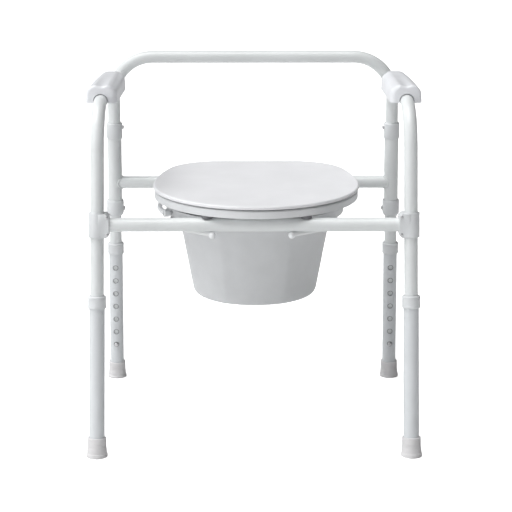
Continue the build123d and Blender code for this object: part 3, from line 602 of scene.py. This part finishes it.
# ---------------------------------------------------------------- pail
PAIL_SEGMENTS = 192
PAIL_CREASES = (-152.5, -90.0, -27.5, 27.5, 90.0, 152.5)  # degrees from the front
PAIL_FLATNESS = 0.24
PAIL_BASE_CORNER = 17.0
ROUND_ABOVE_Z = 368.0  # the wall is quite round at its flange
FADE_TO_ROUND = 14.0
ROUND_BELOW_Z = 232.0  # and nearly round at its base
FADE_FROM_BASE = 20.0
PAIL_STEP = 9.0


def facet_scale(angle, flatness):
    """The radius of a round pail that is pressed slightly flat between its creases."""
    degrees = (math.degrees(angle) + 180) % 360 - 180
    bounds = [PAIL_CREASES[-1] - 360, *PAIL_CREASES, PAIL_CREASES[0] + 360]
    for start, stop in zip(bounds, bounds[1:]):
        if start <= degrees < stop:
            half = math.radians((stop - start) / 2)
            from_middle = math.radians(degrees - (start + stop) / 2)
            return 1 - flatness * (1 - math.cos(half) / math.cos(from_middle))
    return 1.0


pivot = Vector(joints["pail_bail_hinge"]["pos_m"])
pail_centre = Vector((pivot.x, pivot.y, 0))
pivot_axis = Vector(joints["pail_bail_hinge"]["axis"]).normalized()
PAIL_PROFILE = (
    (0, 229.6, 0),
    (72, 229.6, 0),
    (74, 228.5, 1.0),
    (84, 228.5, 1.0),
    (105, 228.5, PAIL_BASE_CORNER),
    (131.5, 372.1, 2.0),
    (151.9, 372.1, 2.5),
    (151.9, 386.6, 1.2),
    (148.9, 386.6, 1.2),
    (148.9, 375.0, 2.0),
    (129.2, 375.0, 3.0),
    (102.5, 231.2, PAIL_BASE_CORNER),
    (80, 231.2, 0),
    (0, 232.0, 0),
)


def pail_shape(angle, radius, height):
    """Flattens the wall between creases, and fades that out at the base and the flange."""
    z = height / MM
    towards_flange = min(1.0, max(0.0, (ROUND_ABOVE_Z - z) / FADE_TO_ROUND))
    above_base = min(1.0, max(0.0, (z - ROUND_BELOW_Z) / FADE_FROM_BASE))
    angle_from_front = angle + math.pi / 2
    flatness = PAIL_FLATNESS * towards_flange * (0.35 + 0.65 * above_base)
    return facet_scale(angle_from_front, flatness)


def subdivided(points, longest):
    """Adds points so that no step of a profile is longer than that."""
    dense = []
    for first, second in zip(points, points[1:]):
        count = max(1, math.ceil((second - first).length / longest))
        dense += [first.lerp(second, step / count) for step in range(count)]
    return dense + [points[-1]]


pail = bmesh.new()
corners = [(r * MM, z * MM, radius * MM) for r, z, radius in PAIL_PROFILE]
dense = subdivided(rounded_path(corners, steps=6), PAIL_STEP * MM)
profile = [tuple(point) for point in dense]
add_lathe(pail, profile, pail_centre, Vector((0, 0, 1)), segments=PAIL_SEGMENTS, shape=pail_shape)
PIVOT_PIN = ((0, 150.6, 0), (3.0, 150.6, 0), (3.0, 166.6, 0.6), (2.4, 167.4, 0.3), (0, 167.4, 0))
for direction in (1, -1):
    pin = [tuple(point * MM) for point in rounded_path(PIVOT_PIN, steps=3)]
    add_lathe(pail, pin, pivot, pivot_axis * direction, segments=32)
piece("pail_bucket", pail, "pail_plastic", "pail", "pail", "pail_rim")

# ---------------------------------------------------------------- bail handle
BAIL_R = 163.0
GRIP_HALF_ANGLE = math.radians(24)
GRIP_RIBS = 14
BAIL_HALF_WIDTH = 5.0
BAIL_HALF_HEIGHT = 4.5
BAIL_SQUARENESS = 0.8  # 1 is an ellipse, and less is squarer
STEM_SCALE = 0.90
GRIP_SCALE = 0.95
END_SCALE = 0.97
END_ANGLE = math.radians(82)
BAIL_STEPS = 150
BAIL_SECTION_POINTS = 20
EYE_PROFILE = (
    (3.1, 156.1, 0),
    (5.9, 156.1, 0.7),
    (6.6, 157.2, 0.5),
    (6.6, 165.0, 0.5),
    (5.9, 166.0, 0.7),
    (3.1, 166.0, 0),
)


def squared(value):
    """A sine or cosine moved towards its end values, for a section between oval and box."""
    return math.copysign(abs(value) ** BAIL_SQUARENESS, value)


bail = bmesh.new()
start_angle = math.atan2(-pivot_axis.y, -pivot_axis.x)
bail_sections = []
for step in range(BAIL_STEPS + 1):
    turn = math.pi * step / BAIL_STEPS
    from_middle = abs(turn - math.pi / 2)
    scale = STEM_SCALE
    if from_middle < GRIP_HALF_ANGLE:
        ribs_passed = GRIP_RIBS * from_middle / (2 * GRIP_HALF_ANGLE)
        scale = GRIP_SCALE + (1 - GRIP_SCALE) * math.cos(math.tau * ribs_passed)
    elif from_middle > END_ANGLE:
        scale = END_SCALE
    out = Vector((math.cos(start_angle + turn), math.sin(start_angle + turn), 0))
    section = []
    for index in range(BAIL_SECTION_POINTS):
        angle = math.tau * index / BAIL_SECTION_POINTS
        across = squared(math.cos(angle)) * BAIL_HALF_WIDTH * scale
        rise = squared(math.sin(angle)) * BAIL_HALF_HEIGHT * scale
        section.append(pivot + out * (BAIL_R + across) * MM + Vector((0, 0, rise * MM)))
    bail_sections.append(section)
add_loft(bail, bail_sections)
for direction in (1, -1):
    eye = [tuple(point * MM) for point in rounded_path(EYE_PROFILE, steps=3)]
    add_lathe(bail, eye, pivot, pivot_axis * direction, segments=48)
piece("bail_handle", bail, "bail_plastic", "pail_bail", "pail_bail")

# ---------------------------------------------------------------- rivets and screws
rivet_low, rivet_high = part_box("connector_rivets")
RIVET_R = 3.0
RIVET_HEIGHT = 1.2
RIVET_PROFILE = (
    (0, -2, 0),
    (RIVET_R, -2, 0),
    (RIVET_R, 0.25, 0.2),
    (2.6, 0.8, 0.8),
    (1.2, RIVET_HEIGHT, 0.8),
    (0, RIVET_HEIGHT, 0),
)
rivets = bmesh.new()
for side in SIDES.values():
    for z in (rivet_low.z + RIVET_R * MM, rivet_high.z - RIVET_R * MM):
        x = side * (rivet_high.x - RIVET_R * MM)
        spot = Vector((x, rivet_low.y + RIVET_HEIGHT * MM, z))
        profile = [tuple(point * MM) for point in rounded_path(RIVET_PROFILE, steps=4)]
        add_lathe(rivets, profile, spot, Vector((0, -1, 0)), segments=32)
piece("rivet_heads", rivets, slots["connector_rivets"], "frame", "connector_rivets")

screw_low, screw_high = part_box("armrest_screws")
screws = bmesh.new()
SCREW_PROFILE = (
    (0, -8, 0),
    (2.2, -8, 0),
    (2.2, -0.2, 0),
    (SCREW_HEAD_R, 0, 0.2),
    (4.3, 1.0, 0.6),
    (3.2, 2.2, 0.8),
    (1.9, SCREW_HEAD_HEIGHT, 0.1),
    (1.7, 1.1, 0.1),
    (0, 0.9, 0),
)
for side in SIDES.values():
    for y in (screw_low.y + SCREW_HEAD_R * MM, screw_high.y - SCREW_HEAD_R * MM):
        x = side * (screw_high.x - SCREW_HEAD_R * MM)
        spot = Vector((x, y, screw_low.z + SCREW_HEAD_HEIGHT * MM))
        profile = [tuple(point * MM) for point in rounded_path(SCREW_PROFILE, steps=3)]
        add_lathe(screws, profile, spot, Vector((0, 0, -1)), segments=36)
piece("screw_heads", screws, slots["armrest_screws"], "frame", "armrest_screws")


# ---------------------------------------------------------------- welds
BEAD_SIDES = 10


def add_bead(mesh, points, radius, seed):
    """A closed weld bead with ripples along it."""
    count = len(points)
    sections = []
    for index, point in enumerate(points):
        ahead = points[(index + 1) % count]
        behind = points[index - 1]
        along = (ahead - behind).normalized()
        across, other = axis_basis(along)
        ripple = 0.16 * math.sin(index * 1.6) + 0.25 * noise.noise(Vector((index * 0.35, seed, 0)))
        thick = radius * (1 + ripple)
        section = []
        for corner in range(BEAD_SIDES):
            angle = math.tau * corner / BEAD_SIDES
            section.append(point + (across * math.cos(angle) + other * math.sin(angle)) * thick)
        sections.append(section)
    add_loft(mesh, sections, closed=True)


bar_low, bar_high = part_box("rear_crossbar")
bar_middle = (bar_low + bar_high) / 2
bar_radius = (bar_high.z - bar_low.z) / 2
SLEEVE_R = 12.7 * MM
BEAD_OFFSET = 0.3 * MM
CROSSBAR_BEAD_R = 1.5 * MM
ROD_BEAD_R = 1.2 * MM
ROD_R = 4 * MM
ROD_BEAD_LENGTH = 5.5 * MM
ROD_BEAD_SINK = 0.9 * MM
CROSSBAR_BEAD_STEPS = 72
ROD_BEAD_STEPS = 36
welds = bmesh.new()
for side_name, side in SIDES.items():
    base, up = corner_axis("rear", side_name)
    points = []
    for step in range(CROSSBAR_BEAD_STEPS):
        angle = math.tau * step / CROSSBAR_BEAD_STEPS
        y = bar_middle.y + (bar_radius + BEAD_OFFSET) * math.cos(angle)
        z = bar_middle.z + (bar_radius + BEAD_OFFSET) * math.sin(angle)
        axis_point = base + up * ((z - base.z) / up.z)
        gap = math.sqrt(max(0.0, (SLEEVE_R + BEAD_OFFSET) ** 2 - (y - axis_point.y) ** 2))
        points.append(Vector((axis_point.x - side * gap, y, z)))
    add_bead(welds, points, CROSSBAR_BEAD_R, side * 3.1)
    rod_low, rod_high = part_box(f"pail_rod_{side_name}")
    rod_x = side * (max(abs(rod_low.x), abs(rod_high.x)) - ROD_R)
    spot = Vector((rod_x, bar_middle.y, rod_high.z - ROD_BEAD_SINK))
    points = []
    for step in range(ROD_BEAD_STEPS):
        angle = math.tau * step / ROD_BEAD_STEPS
        offset = Vector((ROD_R * math.cos(angle), ROD_BEAD_LENGTH * math.sin(angle), 0))
        points.append(spot + offset)
    add_bead(welds, points, ROD_BEAD_R, side * 5.7)
piece("weld_beads", welds, "powder_coat", "frame")

# ---------------------------------------------------------------- moulded connectors and clips
for side_name in SIDES:
    softened(f"tee_connector_{side_name}", f"front_connector_{side_name}", 1.0 * MM, steps=3)
    softened(f"hinge_clip_{side_name}", f"hinge_bracket_{side_name}", 0.6 * MM)
    softened(f"sleeve_cap_top_{side_name}", f"sleeve_top_collar_{side_name}", 0.4 * MM)
    softened(f"sleeve_cap_lower_{side_name}", f"sleeve_lower_collar_{side_name}", 0.4 * MM)

# ---------------------------------------------------------------- lid ribs
RIB_TOP = 416.8 * MM  # on the level seat, before it is tipped onto its two bars
RIB_BOTTOM = 414.4 * MM
RIB_HALF = 0.9 * MM
RIB_XS = (-96, -48, 0, 48, 96)
RIB_YS = (-120, -30, 42)
RIB_REAR_Y = 138
RIB_REACH = 166  # the half length of a crosswise rib where the lid is widest
LID_HALF_WIDTH = 174.5
LID_FRONT_Y = -214
LID_WIDEST_Y = -32
SEAT_TILT = math.radians(1.3)
lid_low, lid_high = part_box("lid")
front_bar_low, front_bar_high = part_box("front_bar")
tipping_point = Vector((0, (front_bar_low.y + front_bar_high.y) / 2, front_bar_high.z))
ribs = bmesh.new()


def add_rib(mesh, first, second):
    """A tapered rib under the lid between two points seen from above."""
    along = (second - first).normalized()
    across = Vector((-along.y, along.x, 0))
    sections = []
    for point in (first, second):
        top = Vector((point.x, point.y, RIB_TOP))
        bottom = Vector((point.x, point.y, RIB_BOTTOM))
        sections.append(
            [
                top - across * RIB_HALF * 1.5,
                bottom - across * RIB_HALF + Vector((0, 0, RIB_HALF)),
                bottom - across * RIB_HALF * 0.5,
                bottom + across * RIB_HALF * 0.5,
                bottom + across * RIB_HALF + Vector((0, 0, RIB_HALF)),
                top + across * RIB_HALF * 1.5,
            ]
        )
    add_loft(mesh, sections)


front_length = LID_WIDEST_Y - LID_FRONT_Y
for x in RIB_XS:
    reach = math.sqrt(1 - (x / LID_HALF_WIDTH) ** 2)
    front_y = LID_WIDEST_Y - front_length * reach + 4
    add_rib(ribs, Vector((x * MM, front_y * MM, 0)), Vector((x * MM, RIB_REAR_Y * MM, 0)))
for y in RIB_YS:
    half = RIB_REACH
    if y < LID_WIDEST_Y:
        half = (RIB_REACH + 3) * math.sqrt(1 - ((y - LID_WIDEST_Y) / front_length) ** 2)
    add_rib(ribs, Vector((-half * MM, y * MM, 0)), Vector((half * MM, y * MM, 0)))
tip = Matrix.Rotation(SEAT_TILT, 4, "X")
sideways = Matrix.Translation(Vector(((lid_low.x + lid_high.x) / 2, 0, 0)))
onto_bars = Matrix.Translation(tipping_point) @ tip @ Matrix.Translation(-tipping_point) @ sideways
bmesh.ops.transform(ribs, matrix=onto_bars, verts=ribs.verts)
piece("lid_ribs", ribs, "lid_plastic", "lid")

# ---------------------------------------------------------------- floor, light and camera
WORLD_STRENGTHS = (0.10, 1.0)  # on the right and on the left
WORLD_RAMP = (0.15, -1.0)  # from where to where across the sky it grows brighter
WORLD_COLOUR = (0.97, 0.985, 1.0, 1)
SKY_SEEN = 1.05  # the world and the floor look white, but light the chair less than that
FLOOR_GLOW = 0.80
FLOOR_SIZE = 60
FLOOR_DARK = (0.76, 0.76, 0.76)
FLOOR_PALE = (0.80, 0.80, 0.80)
FLOOR_CLOUD_SIZE = 0.8
SUN_STRENGTH = 2.6
SUN_SOFTNESS = 50
SUN_PLACE = (-0.9, -0.5, 3.0)
KEY_POWER = 6.0
KEY_SIZE = 1.0
KEY_PLACE = (-1.5, -1.3, 0.7)
KEY_TARGET = (-0.1, -0.1, 0.3)

floor_mesh = bmesh.new()
bmesh.ops.create_grid(floor_mesh, x_segments=1, y_segments=1, size=FLOOR_SIZE)
floor_data = bpy.data.meshes.new("floor")
floor_mesh.to_mesh(floor_data)
floor_mesh.free()
floor = bpy.data.objects.new("floor", floor_data)
bpy.context.scene.collection.objects.link(floor)
floor_material, floor_tree, floor_shader, floor_place = start_material("pale_floor")
cloud = noise_node(floor_tree, FLOOR_CLOUD_SIZE, 2, floor_place)
floor_colour = blended(floor_tree, cloud, FLOOR_DARK, FLOOR_PALE)
floor_tree.links.new(floor_colour, floor_shader.inputs["Base Color"])
floor_shader.inputs["Roughness"].default_value = 0.6
floor_shader.inputs["Emission Color"].default_value = (1, 1, 1, 1)
seen = floor_tree.nodes.new("ShaderNodeLightPath").outputs["Is Camera Ray"]
glow = spread(floor_tree, seen, 0, 1, 0, FLOOR_GLOW)
floor_tree.links.new(glow, floor_shader.inputs["Emission Strength"])
floor_data.materials.append(floor_material)

world = bpy.data.worlds.new("studio")
world.use_nodes = True
world_tree = world.node_tree
background = world_tree.nodes["Background"]
direction = world_tree.nodes.new("ShaderNodeTexCoord").outputs["Generated"]
split = world_tree.nodes.new("ShaderNodeSeparateXYZ")
world_tree.links.new(direction, split.inputs["Vector"])
sky = world_tree.nodes.new("ShaderNodeMix")
seen = world_tree.nodes.new("ShaderNodeLightPath").outputs["Is Camera Ray"]
world_tree.links.new(seen, sky.inputs[0])
graded = spread(world_tree, split.outputs["X"], *WORLD_RAMP, *WORLD_STRENGTHS)
world_tree.links.new(graded, sky.inputs[2])
sky.inputs[3].default_value = SKY_SEEN
world_tree.links.new(sky.outputs[0], background.inputs["Strength"])
background.inputs["Color"].default_value = WORLD_COLOUR
bpy.context.scene.world = world
bpy.context.scene.view_settings.view_transform = "Standard"


def aim(obj, place, target):
    """Puts a light at a place, turned to shine at the target."""
    obj.location = place
    direction = Vector(target) - Vector(place)
    obj.rotation_euler = direction.to_track_quat("-Z", "Y").to_euler()
    bpy.context.scene.collection.objects.link(obj)


sun = bpy.data.lights.new("overhead", "SUN")
sun.energy = SUN_STRENGTH
sun.angle = math.radians(SUN_SOFTNESS)
aim(bpy.data.objects.new("overhead", sun), SUN_PLACE, (0, 0, 0))

key = bpy.data.lights.new("key", "AREA")
key.shape = "DISK"
key.size = KEY_SIZE
key.energy = KEY_POWER
key_object = bpy.data.objects.new("key", key)
key_object.visible_camera = False
aim(key_object, KEY_PLACE, KEY_TARGET)

CAMERA_PLACE = (-0.0128, -2.703, 0.936)
CAMERA_PITCH = 76.5
CAMERA_YAW = -0.36
CAMERA_LENS = 112.3
CAMERA_SENSOR = 36

camera_data = bpy.data.cameras.new("camera")
camera_data.lens = CAMERA_LENS
camera_data.sensor_width = CAMERA_SENSOR
camera = bpy.data.objects.new("camera", camera_data)
camera.location = CAMERA_PLACE
camera.rotation_euler = (math.radians(CAMERA_PITCH), 0, math.radians(CAMERA_YAW))
bpy.context.scene.collection.objects.link(camera)
bpy.context.scene.camera = camera
